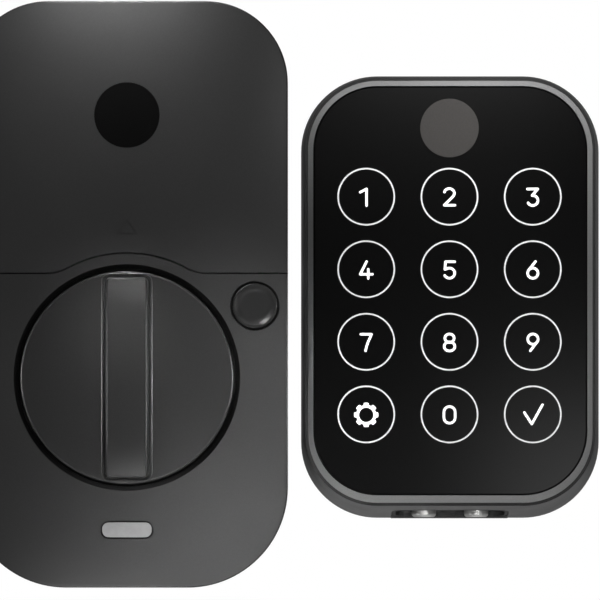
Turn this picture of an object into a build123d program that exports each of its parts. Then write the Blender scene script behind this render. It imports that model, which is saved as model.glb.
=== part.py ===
from build123d import *
import os
from math import acos, asin, atan2, cos, degrees, hypot, pi, radians, sin, sqrt, tan

# Keypad smart lock for a door with a standard round bore. The inside unit has the
# thumbturn, the batteries and a motor gear train. The outside unit is a touch keypad.
# Both units are drawn side by side, facing the same way, with their backs on one plane.
# Sizes are in millimetres. In this file x is to the right, y is up and z comes out of
# the door, with the thumbturn's axis at x = y = 0 and the door's face at z = 0.

# Clearances that the pieces share
fit_gap = 0.3
run_gap = 0.05
seat_gap = 0.02
stop_gap = 0.1
seam_gap = 0.3
cut_over = 1.0

# AA cells and the tray that holds them
cell_diameter = 14.2
cell_length = 50.5
cell_spacing = 0.8
cell_edge_round = 0.6
nub_radius = 2.75
nub_height = 1.3
cell_end_space = 1.6
outer_pair_drop = 4.5
tray_wall = 1.3
tray_floor = 1.5
tray_side_height = 8.0
cradle_height = 4.0
cell_play = 0.25
contact_thickness = 0.4
contact_width = 9.0
contact_tab_width = 3.0
contact_button_radius = 3.0
leaf_width = 5.0
leaf_span = 7.0

# Shell of the inside unit
shell_wall = 1.8
chassis_wall = 1.5
side_bay = 4.25
top_bay = 1.9
chin_reach = 22.0
top_corner_radius = 19.9
bottom_corner_radius = 24.2
front_edge_round = 0.5
split_height = 25.1
split_arch_margin = 1.15
split_fillet = 8.7
door_gap = 0.2

# Stack of layers from the door to the cover
plate_thickness = 2.0
chassis_floor = 2.5
board_standoff = 2.1
board_thickness = 1.6
board_tray_gap = 0.6
cell_floor_gap = 0.3
cover_clearance = 1.4

# Battery cover details
rail_lip_width = 2.5
rail_lip_thickness = 1.2
rail_lip_length = 40.0
rail_lip_start = 2.5
seam_lip_rise = 1.2
seam_lip_reach = 1.0
badge_radius = 7.95
badge_thickness = 0.8
badge_from_top = 27.6
arrow_width = 5.3
arrow_height = 3.6
arrow_line = 0.3
arrow_depth = 0.25
arrow_rise = 4.65

# Thumbturn
disc_radius = 25.8
turn_gap = 0.65
cup_wall = 2.45
cup_floor = 1.6
cup_hole_gap = 2.0
cup_edge = 1.0
disc_lift = 0.4
disc_proud = 0.6
disc_plate = 2.4
disc_skirt = 2.0
disc_edge_round = 0.6
hub_wall = 3.0
grip_end_margin = 0.5
grip_width = 12.4
grip_corner = 2.2
grip_foot = 0.9
grip_foot_chamfer = 0.2
grip_rim = 0.5
grip_groove = 0.5
grip_groove_depth = 0.6
grip_height = 9.0
grip_side_draft = 0.3
grip_end_draft = 0.3
grip_edge_round = 0.5
grip_end_roll = 9.0
grip_end_roll_radius = 45.0
peg_radius = 2.2
peg_offset = 14.0

# Drive shaft, bushes and tailpiece
shaft_radius = 5.0
square_width = 7.0
bush_wall = 2.0
bush_flange_width = 1.6
bush_flange = 0.8
ring_thickness = 1.0
ring_width = 3.2
ring_groove = 0.6
ring_mouth = 7.0
tail_width = 7.0
tail_thickness = 2.4
tail_reach = 32.0
tail_socket = 9.5
tail_tip_taper = 2.0

# Gear train from the motor to the drive shaft
gear_module = 0.6
pinion_teeth = 14
wheel_teeth = 42
output_teeth = 49
pressure_angle = 20.0
addendum = 0.9
dedendum = 1.25
tooth_thinning = 0.06
gear_face = 3.0
output_face = 3.5
layer_gap = 0.5
second_gear_bearing = 222.0
first_gear_bearing = -65.0
motor_gear_gap = 1.0
axle_radius = 1.25
axle_boss_wall = 1.35
axle_seat = 1.5
gear_hub_wall = 1.1
gearbox_plate = 2.0
gearbox_post_radius = 2.6
gearbox_post_gap = 1.0
gearbox_lobe_wall = 1.4
post_bearing_at_second_gear = 166.0
post_bearing_at_first_gear = 220.0
post_bearings_at_output = (40.0, 132.0)
post_bearing_at_motor = -41.0

# Motor
motor_radius = 10.0
motor_height = 10.5
motor_gap = 1.2
motor_boss_radius = 3.2
motor_boss_height = 0.8
motor_edge_round = 1.0
motor_shaft_radius = 1.0
motor_shaft_inside = 4.8
motor_post_radius = 1.8
motor_post_ring = 7.5
motor_post_angles = (-75.0, 0.0, 75.0)
motor_pin_width = 1.0
motor_pin_thickness = 0.6
motor_pin_reach = 7.5
motor_pin_spread = 3.5

# Front board, privacy button and status light
front_board_thickness = 1.2
part_gap = 0.5
front_board_left = 12.0
front_board_bay = 5.0
button_radius = 5.4
button_gap = 0.6
button_lip = 0.45
button_flange = 1.0
button_proud = 0.3
button_dish = 0.6
button_dish_round = 3.0
button_rim = 0.6
button_wall_gap = 0.2
button_travel = 1.0
button_stem_radius = 1.6
switch_width = 6.0
switch_height = 1.8
switch_floor = 0.4
plunger_radius = 1.7
plunger_height = 1.1
light_drop = 8.0
light_width = 12.0
light_height = 3.6
light_corner = 1.6
light_gap = 0.4
light_corner_limit = 0.95
light_flange_margin = 1.4
light_flange = 1.0
light_stem_width = 6.0
led_length = 3.5
led_width = 2.8
led_height = 1.2

# Mounting plate and the holes through the back of the inside unit
bolt_spacing = 38.1
bolt_hole_radius = 2.7
bolt_head_room = 5.4
plate_side_margin = 8.0
plate_top_margin = 13.0
plate_bottom_margin = 9.0
plate_corner = 10.0
tail_hole_gap = 3.0
tab_width = 8.0
tab_offset = 12.0
tab_bottom_margin = 2.0
cable_slot_width = 18.0
cable_slot_height = 9.5
cable_slot_rise = 15.0
cable_slot_corner = 2.0

# Chassis
lower_wall_height = 7.5
upper_wall_rise = 1.7
tray_post_radius = 2.4
tray_post_shoulder = 1.2
tray_post_inset = 13.0
mount_post_radius = 3.4
mount_post_inset = 12.0

# Circuit boards and what is soldered to them
board_edge_gap = 0.6
board_tongue_width = 19.0
socket_width = 14.0
socket_height = 6.0
socket_clear_depth = 3.6
socket_wall = 1.0
module_thickness = 2.8
module_length = 35.0
module_height = 13.0
module_socket_height = 1.5
module_socket_inset = 3.0
module_edge_round = 1.0
header_width = 2.5
header_length = 2.8
header_inset = 0.7
chip_width = 9.0
chip_height = 1.2
can_width = 14.0
can_height = 1.6
coil_width = 5.0
can_inset = 0.6
coil_inset = 1.5

# Screws: head radius, head height and shank radius of each kind, and the cross recess
mount_screw_head = 3.0
mount_screw_head_height = 1.4
mount_screw_shank = 2.0
small_screw_head = 2.2
small_screw_head_height = 1.2
small_screw_shank = 1.2
screw_bite = 7.5
cross_depth_share = 0.6
cross_arm_share = 0.7
cross_slot_share = 0.16
housing_boss_radius = 2.25
housing_boss_rise = 4.0
housing_boss_side = 8.0
housing_boss_lift = 21.9
front_screw_drop = 12.0
front_screw_right = 24.0
front_screw_left = -13.0
front_screw_lift = 9.5

# Outside of the keypad unit
unit_gap = 3.2
keypad_width = 72.4
keypad_height = 107.4
keypad_below_bore = 34.2
keypad_corner = 18.5
keypad_depth = 19.5
side_draft = 0.95
top_draft = 0.5
chin_draft = 3.05
keypad_wall = 1.8
land_width = 0.75
bevel_side = 1.25
bevel_top = 1.25
bevel_bottom = 1.8
bevel_rise = 1.6
bezel_base = 0.5
bezel_skirt = 3.3
glass_ledge = 2.5
glass_gap = 0.45

# Inside of the keypad unit
key_columns = 3
key_rows = 4
key_pitch_x = 20.2
key_pitch_y = 17.6
key_grid_drop = 2.2
sensor_thickness = 0.5
guide_thickness = 1.5
backlight_length = 3.0
backlight_width = 1.6
backlight_height = 0.8
gasket_thickness = 1.5
gasket_width = 5.0
back_plate_thickness = 2.0
keypad_boss_radius = 3.0
boss_wall_bite = 0.6
post_radius = 4.2
post_reach = 14.0
post_bore_radius = 2.1
post_bore_floor = 2.0
post_rivet_radius = 2.8
post_head_height = 1.0
sounder_radius = 6.0
sounder_height = 3.2
sounder_offset_x = -16.0
sounder_rise = 46.0
keypad_socket_rise = 14.0

# Emergency power contacts in the underside of the keypad
stud_spacing = 12.7
stud_radius = 2.95
stud_edge_round = 0.9
stud_depth = 7.4
stud_tip_gap = 0.2
recess_width = 28.4
recess_back = 2.2
recess_front = 13.0
recess_corner = 3.2
recess_ceiling = 1.25
recess_lining = 0.8
lining_gap = 0.15
block_flange = 2.4
block_flange_margin = 1.4
stem_radius = 1.2
lead_width = 2.6
lead_thickness = 0.4
lead_leg = 5.0


def cylinder(radius, low, high, at=(0, 0)):
    """Upright cylinder between two heights."""
    base = min(low, high)
    solid = Cylinder(radius, abs(high - low), align=(Align.CENTER, Align.CENTER, Align.MIN))
    return Pos(at[0], at[1], base) * solid


def slab(profile, low, high):
    """Flat profile carried from one height to another."""
    return Pos(0, 0, low) * extrude(profile, high - low)


def rectangle(left, right, bottom, top):
    """Rectangle between its four sides."""
    return Pos((left + right) / 2, (bottom + top) / 2) * Rectangle(right - left, top - bottom)


def rounded_rectangle(left, right, bottom, top, radius):
    """Rectangle between its four sides, with round corners."""
    outline = RectangleRounded(right - left, top - bottom, radius)
    return Pos((left + right) / 2, (bottom + top) / 2) * outline


def circle(radius, at=(0, 0)):
    """Circle about a point."""
    return Pos(at[0], at[1]) * Circle(radius)


def box(left, right, bottom, top, low, high):
    """Box between its six sides."""
    return slab(rectangle(left, right, bottom, top), low, high)


def polar(origin, distance, bearing):
    """Point at a distance and a bearing in degrees from an origin."""
    angle = radians(bearing)
    return (origin[0] + distance * cos(angle), origin[1] + distance * sin(angle))


def bearing_beside(origin, distance, reach):
    """Bearing from an origin to the point at a distance from it and a reach from the axis."""
    away = hypot(*origin)
    corner = acos((away ** 2 + distance ** 2 - reach ** 2) / (2 * away * distance))
    return degrees(atan2(-origin[1], -origin[0]) - corner)


def screw(at, seat, tip, head_radius, head_height, shank_radius):
    """Screw whose head rests on its seat, with a cross recess in the head."""
    outward = 1 if seat > tip else -1
    crown = seat + outward * head_height
    recess = crown - outward * cross_depth_share * head_height
    low, high = min(crown, recess), max(crown, recess)
    arm = cross_arm_share * head_radius
    half_slot = cross_slot_share * head_radius
    body = cylinder(head_radius, seat, crown, at) + cylinder(shank_radius, tip, seat, at)
    for half_x, half_y in ((arm, half_slot), (half_slot, arm)):
        body -= box(at[0] - half_x, at[0] + half_x, at[1] - half_y, at[1] + half_y, low, high)
    return body


def small_screw(at, seat, tip):
    """Small self-tapping screw."""
    return screw(at, seat, tip, small_screw_head, small_screw_head_height, small_screw_shank)


def group(pieces):
    """Separate solids that belong to one sub-part."""
    whole = pieces[0]
    for piece in pieces[1:]:
        whole += piece
    return whole


# Places across the inside unit
cell_radius = cell_diameter / 2
cell_pitch = cell_diameter + cell_spacing
cell_columns = [(index - 1.5) * cell_pitch for index in range(4)]
tray_half = 2 * cell_pitch - cell_spacing / 2 + cell_play + tray_wall
chassis_inner_half = tray_half + side_bay
chassis_inset = shell_wall + fit_gap
inner_inset = chassis_inset + chassis_wall
interior_half = chassis_inner_half + inner_inset
wall_inner_half = interior_half - shell_wall

# Places up the inside unit
grip_length = 2 * (disc_radius - grip_end_margin)
cup_radius = disc_radius + turn_gap
cup_outer = cup_radius + cup_wall
tray_inner_bottom = cup_outer + part_gap
inner_cell_bottom = tray_inner_bottom + tray_wall + cell_end_space
tray_inner_top = inner_cell_bottom + cell_length + cell_end_space + tray_wall
tray_outer_bottom = tray_inner_bottom - outer_pair_drop
tray_outer_top = tray_inner_top - outer_pair_drop
interior_top = tray_inner_top + top_bay + inner_inset
interior_bottom = -(cup_outer + chin_reach)
split_arch = cup_outer + split_arch_margin

# Heights of the layers above the door
floor_front = plate_thickness + chassis_floor
board_back = floor_front + board_standoff
board_front = board_back + board_thickness
tray_back = board_front + board_tray_gap
tray_front = tray_back + tray_floor
cell_axis = tray_front + cell_floor_gap + cell_radius
cover_inner = cell_axis + cell_radius + cover_clearance
lip_front = plate_thickness - stop_gap
front_face = cover_inner + shell_wall
first_layer = floor_front + layer_gap
second_layer = first_layer + gear_face + layer_gap
third_layer = second_layer + gear_face + layer_gap
gearbox_back = third_layer + output_face + layer_gap
gearbox_front = gearbox_back + gearbox_plate
ring_back = gearbox_front + bush_flange + stop_gap
ring_front = ring_back + ring_thickness
motor_back = first_layer + gear_face + motor_gap
motor_front = motor_back + motor_height
cup_floor_back = max(ring_front, motor_front) + part_gap
cup_floor_front = cup_floor_back + cup_floor
disc_back = cup_floor_front + disc_lift
disc_front = front_face + disc_proud
disc_plate_back = disc_front - disc_plate
front_board_back = motor_front + part_gap
front_board_front = front_board_back + front_board_thickness

# Gear sizes and centres
pinion_pitch = gear_module * pinion_teeth / 2
wheel_pitch = gear_module * wheel_teeth / 2
output_pitch = gear_module * output_teeth / 2
wheel_tip = wheel_pitch + addendum * gear_module
output_tip = output_pitch + addendum * gear_module
shaft_centre = (0, 0)
second_centre = polar(shaft_centre, output_pitch + pinion_pitch, second_gear_bearing)
first_centre = polar(second_centre, wheel_pitch + pinion_pitch, first_gear_bearing)
motor_bearing = bearing_beside(first_centre, wheel_pitch + pinion_pitch,
                               output_tip + motor_radius + motor_gear_gap)
motor_centre = polar(first_centre, wheel_pitch + pinion_pitch, motor_bearing)
axle_boss_radius = axle_radius + axle_boss_wall
axle_foot = floor_front - axle_seat
post_offset = gearbox_post_radius + gearbox_post_gap
gearbox_posts = [
    polar(second_centre, wheel_tip + post_offset, post_bearing_at_second_gear),
    polar(first_centre, wheel_tip + post_offset, post_bearing_at_first_gear),
    polar(motor_centre, motor_radius + post_offset, post_bearing_at_motor),
]
gearbox_posts += [polar(shaft_centre, output_tip + post_offset, bearing)
                  for bearing in post_bearings_at_output]
motor_posts = [polar(motor_centre, motor_post_ring, motor_bearing + angle)
               for angle in motor_post_angles]

# Fasteners of the inside unit
bolt_points = [(-bolt_spacing / 2, 0), (bolt_spacing / 2, 0)]
tray_screw_points = [(side * cell_pitch, row)
                     for side in (-1, 1)
                     for row in (tray_outer_bottom + tray_post_inset, tray_outer_top - tray_post_inset)]
mount_screw_points = [(0, tray_inner_bottom + mount_post_inset), (0, tray_inner_top - mount_post_inset)]
side_boss = (cup_outer + chassis_inner_half) / 2
housing_boss_points = [(side * side_boss, housing_boss_rise) for side in (-1, 1)]
housing_boss_points += [(side * (interior_half - housing_boss_side), interior_bottom + housing_boss_lift)
                        for side in (-1, 1)]
front_board_points = [
    (side_boss, housing_boss_rise - front_screw_drop),
    (front_screw_right, interior_bottom + front_screw_lift),
    (front_screw_left, interior_bottom + front_screw_lift),
]

# Privacy button, beside the cup and against the side wall
button_hole = button_radius + button_gap
button_flange_radius = button_hole + button_lip
button_x = wall_inner_half - button_wall_gap - button_hole
button_reach = cup_outer + button_flange_radius + button_wall_gap
button_y = sqrt(button_reach ** 2 - button_x ** 2)
button_point = (button_x, button_y)
switch_front = front_board_front + switch_height
plunger_back = front_board_front + switch_floor + button_travel + stop_gap
plunger_front = plunger_back + plunger_height
light_y = -(cup_outer + light_drop)

# Places of the keypad unit
keypad_x = interior_half + unit_gap + keypad_width / 2
keypad_left = keypad_x - keypad_width / 2
keypad_right = keypad_x + keypad_width / 2
keypad_bottom = -keypad_below_bore
keypad_top = keypad_bottom + keypad_height
keypad_land = keypad_depth
bezel_front = keypad_land + bevel_rise
glass_back = keypad_land + bezel_base
sensor_back = glass_back - sensor_thickness
guide_back = sensor_back - guide_thickness
keypad_board_front = keypad_land - bezel_skirt
keypad_board_back = keypad_board_front - board_thickness
back_plate_front = gasket_thickness + back_plate_thickness


def interior_outline(inset):
    """Outline of the inside unit, drawn in by an inset."""
    half = interior_half - inset
    outline = rectangle(-half, half, interior_bottom + inset, interior_top - inset)
    outline = fillet(outline.vertices().group_by(Axis.Y)[-1], top_corner_radius - inset)
    return fillet(outline.vertices().group_by(Axis.Y)[0], bottom_corner_radius - inset)


def below_split(margin):
    """Area below the arched line where the cover meets the lower housing."""
    far = interior_half + 2 * split_arch
    straight = rectangle(-far, far, interior_bottom - far, split_height + margin)
    area = straight + circle(split_arch + margin)
    corners = [vertex for vertex in area.vertices() if abs(vertex.X) < split_arch + margin]
    return fillet(corners, split_fillet - margin)


def shell():
    """Whole outer shell, before it is parted into cover and lower housing."""
    outside = slab(interior_outline(0), door_gap, front_face)
    rim = outside.faces().sort_by(Axis.Z)[-1].edges()
    outside = fillet(rim, front_edge_round)
    return outside - slab(interior_outline(shell_wall), 0, cover_inner)


def battery_cover(whole):
    """Upper shell that slides up off the batteries, with rail lips behind the chassis."""
    cover = whole - slab(below_split(seam_gap), 0, 2 * front_face)
    cover -= slab(below_split(seam_lip_rise + seam_gap), 0, lip_front + seam_gap)
    lip_back = lip_front - rail_lip_thickness
    lip_low = split_height + seam_gap + rail_lip_start
    for side in (-1, 1):
        edges = sorted((side * (wall_inner_half - rail_lip_width), side * wall_inner_half))
        cover += box(edges[0], edges[1], lip_low, lip_low + rail_lip_length, lip_back, lip_front)
    cover -= cylinder(badge_radius, front_face - badge_thickness, 2 * front_face,
                      (0, interior_top - badge_from_top))
    return cover - arrow()


def arrow():
    """Engraved outline of the arrow that shows which way the cover slides."""
    base = split_arch + arrow_rise
    half = arrow_width / 2
    outer = make_face(Polyline((-half, base), (half, base), (0, base + arrow_height), close=True))
    inner = offset(outer, -arrow_line, kind=Kind.INTERSECTION)
    return slab(outer - inner, front_face - arrow_depth, 2 * front_face)


def cover_badge():
    """Plain round inlay in the cover."""
    return cylinder(badge_radius - seat_gap, front_face - badge_thickness, front_face,
                    (0, interior_top - badge_from_top))


def seam_lips():
    """Tabs at both ends of the split, which close it from behind and reach behind the chassis."""
    band = below_split(seam_lip_rise) - below_split(-seam_lip_rise)
    return band & (interior_outline(0) - interior_outline(shell_wall + seam_lip_reach))


def lower_housing(whole):
    """Lower shell with the thumbturn's cup, the button hole, the light window, bosses and seam lips."""
    housing = whole & slab(below_split(0), 0, 2 * front_face)
    housing += slab(seam_lips(), door_gap, lip_front)
    housing += cylinder(cup_outer, cup_floor_back, cover_inner)
    housing -= cylinder(cup_radius, cup_floor_front, 2 * front_face)
    housing -= Pos(0, 0, front_face - cup_edge) * Cone(cup_radius, cup_radius + cup_edge, cup_edge,
                                                       align=(Align.CENTER, Align.CENTER, Align.MIN))
    housing -= cylinder(shaft_radius + cup_hole_gap, 0, front_face)
    housing -= cylinder(button_hole, cover_inner, front_face, button_point)
    housing -= slab(light_profile(light_gap), cover_inner, front_face)
    for point in housing_boss_points:
        housing += cylinder(housing_boss_radius, floor_front, cover_inner, point)
        housing -= cylinder(small_screw_shank + seat_gap, floor_front, floor_front + screw_bite, point)
    for point in front_board_points:
        housing += cylinder(housing_boss_radius, front_board_front, cover_inner, point)
        housing -= cylinder(small_screw_shank + seat_gap, front_board_front, cover_inner, point)
    return housing


def light_profile(margin):
    """Round-ended outline of the status light, grown by a margin."""
    half_width = light_width / 2 + margin
    half_height = light_height / 2 + margin
    return rounded_rectangle(-half_width, half_width, light_y - half_height, light_y + half_height,
                             min(light_corner + margin, light_corner_limit * half_height))


def chassis():
    """Moulded frame that carries the boards, the gear train, the tray and both shells."""
    outline = interior_outline(chassis_inset)
    inside = interior_outline(inner_inset)
    frame = slab(outline, plate_thickness, floor_front)
    frame += slab(outline - inside, floor_front, floor_front + lower_wall_height)
    upper = rectangle(-interior_half, interior_half, split_height + upper_wall_rise, interior_top)
    frame += slab((outline - inside) & upper, floor_front, front_board_back - part_gap)
    for point in tray_screw_points:
        frame += cylinder(tray_post_radius + tray_post_shoulder, floor_front, board_back, point)
        frame += cylinder(tray_post_radius, board_back, tray_back, point)
        frame -= cylinder(small_screw_shank + seat_gap, tray_front - screw_bite, tray_back, point)
    for point in mount_screw_points:
        frame += cylinder(mount_post_radius, floor_front, tray_back, point)
        frame -= cylinder(mount_screw_shank + fit_gap, plate_thickness, tray_back, point)
    for point in gearbox_posts:
        frame += cylinder(gearbox_post_radius, floor_front, gearbox_back, point)
        frame -= cylinder(small_screw_shank + seat_gap, gearbox_front - screw_bite, gearbox_back, point)
    for point in motor_posts:
        frame += cylinder(motor_post_radius, floor_front, motor_back, point)
    for point, top in ((first_centre, first_layer), (second_centre, second_layer)):
        frame += cylinder(axle_boss_radius, floor_front, top - stop_gap, point)
        frame -= cylinder(axle_radius + seat_gap, axle_foot, top, point)
    for point in housing_boss_points:
        frame -= cylinder(small_screw_shank + fit_gap, plate_thickness, floor_front, point)
        frame -= cylinder(small_screw_head + fit_gap, plate_thickness,
                          plate_thickness + small_screw_head_height + stop_gap, point)
    for point in bolt_points:
        frame -= cylinder(bolt_head_room, plate_thickness, floor_front, point)
    frame -= cylinder(shaft_radius + run_gap + bush_wall + seat_gap, plate_thickness, floor_front)
    frame -= cable_slot(plate_thickness, floor_front)
    for tab in mounting_tabs(fit_gap):
        frame -= slab(tab, plate_thickness, floor_front)
    return frame


def cable_slot(low, high):
    """Opening that the keypad's lead comes through."""
    half = cable_slot_width / 2
    return slab(rounded_rectangle(-half, half, cable_slot_rise, cable_slot_rise + cable_slot_height,
                                  cable_slot_corner),
                low, high)


def mounting_tabs(margin):
    """Sections of the two tabs that the chassis hangs on."""
    low = interior_bottom + plate_bottom_margin + tab_bottom_margin
    return [rectangle(side * tab_offset - tab_width / 2 - margin, side * tab_offset + tab_width / 2 + margin,
                      low - margin, low + plate_thickness + margin)
            for side in (-1, 1)]


def mounting_plate():
    """Steel plate that the through bolts clamp to the door."""
    half = interior_half - plate_side_margin
    outline = rounded_rectangle(-half, half, interior_bottom + plate_bottom_margin,
                                interior_top - plate_top_margin, plate_corner)
    plate = slab(outline, 0, plate_thickness)
    plate -= cylinder(shaft_radius + tail_hole_gap, 0, plate_thickness)
    for point in bolt_points:
        plate -= cylinder(bolt_hole_radius, 0, plate_thickness, point)
    for point in mount_screw_points:
        plate -= cylinder(mount_screw_shank + seat_gap, 0, plate_thickness, point)
    plate -= cable_slot(0, plate_thickness)
    for tab in mounting_tabs(0):
        plate += slab(tab, plate_thickness, floor_front - fit_gap)
    return plate


def tray_outline(inset):
    """Stepped outline of the battery tray, whose inner pair of cells stands higher."""
    half = tray_half - inset
    step = cell_pitch - cell_spacing / 2 + cell_play + tray_wall - inset
    notch = cell_pitch + cell_spacing / 2 - cell_play - tray_wall + inset
    outline = rectangle(-half, half, tray_outer_bottom + inset, tray_outer_top - inset)
    outline += rectangle(-step, step, tray_inner_bottom + inset, tray_inner_top - inset)
    return outline - rectangle(-notch, notch, tray_outer_bottom, tray_inner_bottom + inset)


def cell_bottom(column):
    """Lower end of the cell in a column, counted from the left."""
    return inner_cell_bottom - (outer_pair_drop if column in (0, 3) else 0)


def nub_is_up(column):
    """The cells point up and down by turns."""
    return column % 2 == 0


def along_y(solid, at):
    """Turn a piece that was made upright so that it points up the door, at a point."""
    return Pos(*at) * Rot(-90, 0, 0) * solid


def battery_tray():
    """Open tray with a cradle for each cell, bolted over the main board."""
    tray = slab(tray_outline(0), tray_back, tray_front + tray_side_height)
    tray -= slab(tray_outline(tray_wall), tray_front, 2 * front_face)
    cradle = slab(tray_outline(tray_wall), tray_front, tray_front + cradle_height)
    for column, x in enumerate(cell_columns):
        low = cell_bottom(column)
        room = Cylinder(cell_radius + cell_play, cell_length,
                        align=(Align.CENTER, Align.CENTER, Align.MIN))
        cradle -= along_y(room, (x, low, cell_axis))
        for end in (low - cell_end_space, low + cell_length):
            cradle -= box(x - cell_pitch / 2, x + cell_pitch / 2, end, end + cell_end_space,
                          tray_front, tray_front + cradle_height)
    for point in tray_screw_points:
        cradle -= cylinder(small_screw_head + fit_gap, tray_front, 2 * front_face, point)
    for point in mount_screw_points:
        cradle -= cylinder(mount_screw_head + fit_gap, tray_front, 2 * front_face, point)
    tray += cradle
    for point in tray_screw_points:
        tray -= cylinder(small_screw_shank + fit_gap, tray_back, tray_front, point)
    for point in mount_screw_points:
        tray -= cylinder(mount_screw_shank + fit_gap, tray_back, tray_front, point)
    for column, x in enumerate(cell_columns):
        for upper in (False, True):
            edge, inward = contact_seat(column, upper)
            low, high = sorted((edge, edge + inward * (contact_thickness + fit_gap)))
            half = contact_tab_width / 2 + fit_gap
            tray -= box(x - half, x + half, low, high, tray_back, tray_front)
    return tray


def contact_seat(column, upper):
    """End wall of the tray that a contact lies against, and the way to its cell."""
    low = cell_bottom(column)
    if upper:
        return low + cell_length + cell_end_space, -1
    return low - cell_end_space, 1


def aa_cell(column):
    """One AA cell with its round edge and its nub."""
    body_length = cell_length - nub_height
    upright = (Align.CENTER, Align.CENTER, Align.MIN)
    body = Cylinder(cell_radius, body_length, align=upright)
    body = fillet(body.edges(), cell_edge_round)
    cell = body + Pos(0, 0, body_length) * Cylinder(nub_radius, nub_height, align=upright)
    if not nub_is_up(column):
        cell = Pos(0, 0, cell_length) * Rot(180, 0, 0) * cell
    return along_y(cell, (cell_columns[column], cell_bottom(column), cell_axis))


def contact_plate(column, upper):
    """Contact plate on the tray's end wall, with a tab down to the main board."""
    x = cell_columns[column]
    edge, inward = contact_seat(column, upper)
    low, high = sorted((edge, edge + inward * contact_thickness))
    half = contact_width / 2
    tab = contact_tab_width / 2
    plate = box(x - half, x + half, low, high, tray_front + stop_gap, cell_axis + half)
    return plate + box(x - tab, x + tab, low, high, board_front, tray_front + stop_gap)


def plus_contact(column):
    """Contact with a raised button that meets the cell's nub."""
    upper = nub_is_up(column)
    edge, inward = contact_seat(column, upper)
    upright = (Align.CENTER, Align.CENTER, Align.MIN)
    button = Cylinder(contact_button_radius, cell_end_space, align=upright)
    turn = Rot(-90, 0, 0) if inward > 0 else Rot(90, 0, 0)
    return contact_plate(column, upper) + Pos(cell_columns[column], edge, cell_axis) * turn * button


def minus_contact(column):
    """Contact with a bowed leaf spring that presses on the cell's flat end."""
    upper = not nub_is_up(column)
    x = cell_columns[column]
    edge, inward = contact_seat(column, upper)
    root = edge + inward * contact_thickness / 2
    crest = edge + inward * cell_end_space
    half = leaf_span / 2
    outer = [ThreePointArc((root, -half), (crest, 0), (root, half))]
    inner_crest = crest - inward * contact_thickness
    inner_half = half - contact_thickness
    inner = [ThreePointArc((root, inner_half), (inner_crest, 0), (root, -inner_half))]
    ends = [Line((root, half), (root, inner_half)), Line((root, -inner_half), (root, -half))]
    bow = make_face(outer + ends[:1] + inner + ends[1:])
    section = Plane(origin=(x - leaf_width / 2, 0, cell_axis), x_dir=(0, 1, 0), z_dir=(1, 0, 0))
    return contact_plate(column, upper) + extrude(section * bow, leaf_width, dir=(1, 0, 0))


def main_board():
    """Main circuit board under the battery tray, with a tongue down to the cable slot."""
    outline = interior_outline(inner_inset + board_edge_gap)
    area = rectangle(-interior_half, interior_half, tray_outer_bottom + part_gap, tray_outer_top)
    half = board_tongue_width / 2
    profile = (outline & area) + rectangle(-half, half, cable_slot_rise, tray_inner_bottom)
    board = slab(profile, board_back, board_front)
    for point in tray_screw_points:
        board -= cylinder(tray_post_radius + fit_gap, board_back, board_front, point)
    for point in mount_screw_points:
        board -= cylinder(mount_post_radius + fit_gap, board_back, board_front, point)
    return board


def header_box():
    """Left, right, bottom and top of the header that joins the two boards."""
    right = chassis_inner_half - header_inset
    low = tray_outer_bottom + 2 * part_gap
    return right - header_width, right, low, low + header_length


def module_place():
    """Left, right, bottom and top of the plug-in radio module beside the tray."""
    right = chassis_inner_half - (side_bay - module_thickness) / 2
    low = header_box()[3] + 2 * part_gap
    return right - module_thickness, right, low, low + module_length


def smart_module():
    """Plug-in radio module that stands on the main board beside the tray."""
    left, right, low, high = module_place()
    base = board_front + module_socket_height
    card = box(left, right, low, high, base, base + module_height)
    return fillet(card.edges().filter_by(Axis.X), module_edge_round)


def main_board_parts():
    """Chips on the back of the main board, the module's socket and the board header."""
    left, right, low, high = module_place()
    pieces = [box(left, right, low + module_socket_inset, high - module_socket_inset,
                  board_front, board_front + module_socket_height)]
    edges = header_box()
    pieces.append(box(*edges, board_front, front_board_back))
    middle = (tray_outer_bottom + tray_outer_top) / 2
    inner = can_inset * cell_pitch
    outer = coil_inset * cell_pitch
    chips = ((-outer, coil_width, can_height), (-inner, chip_width, chip_height),
             (inner, can_width, can_height), (outer, coil_width, chip_height))
    for x, width, height in chips:
        half = width / 2
        pieces.append(box(x - half, x + half, middle - half, middle + half,
                          board_back - height, board_back))
    return group(pieces)


def interior_cable_socket():
    """Socket for the keypad's lead, facing the door through the cable slot."""
    middle = cable_slot_rise + cable_slot_height / 2
    half = socket_width / 2
    body = box(-half, half, middle - socket_height / 2, middle + socket_height / 2,
               socket_clear_depth, board_back)
    mouth = box(-half + socket_wall, half - socket_wall, middle - socket_height / 2 + socket_wall,
                middle + socket_height / 2 - socket_wall, socket_clear_depth, board_back - socket_wall)
    return body - mouth


def front_board():
    """Board behind the front wall that carries the button's switch and the status light."""
    outline = interior_outline(shell_wall + board_edge_gap)
    ear_left, ear_right, ear_low, ear_high = header_box()
    area = rectangle(front_board_left - interior_half, interior_half, interior_bottom, 0)
    area += rectangle(cup_outer - front_board_bay, interior_half, 0, tray_outer_bottom - part_gap)
    area += rectangle(ear_left - part_gap, interior_half, 0, ear_high + part_gap)
    profile = (outline & area) - circle(cup_outer + part_gap)
    board = slab(profile, front_board_back, front_board_front)
    for point in housing_boss_points:
        board -= cylinder(housing_boss_radius + fit_gap, front_board_back, front_board_front, point)
    for point in front_board_points:
        board -= cylinder(small_screw_shank + fit_gap, front_board_back, front_board_front, point)
    for left, right, bottom, top in motor_pin_edges(fit_gap):
        board -= box(left, right, bottom, top, front_board_back, front_board_front)
    return board


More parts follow.
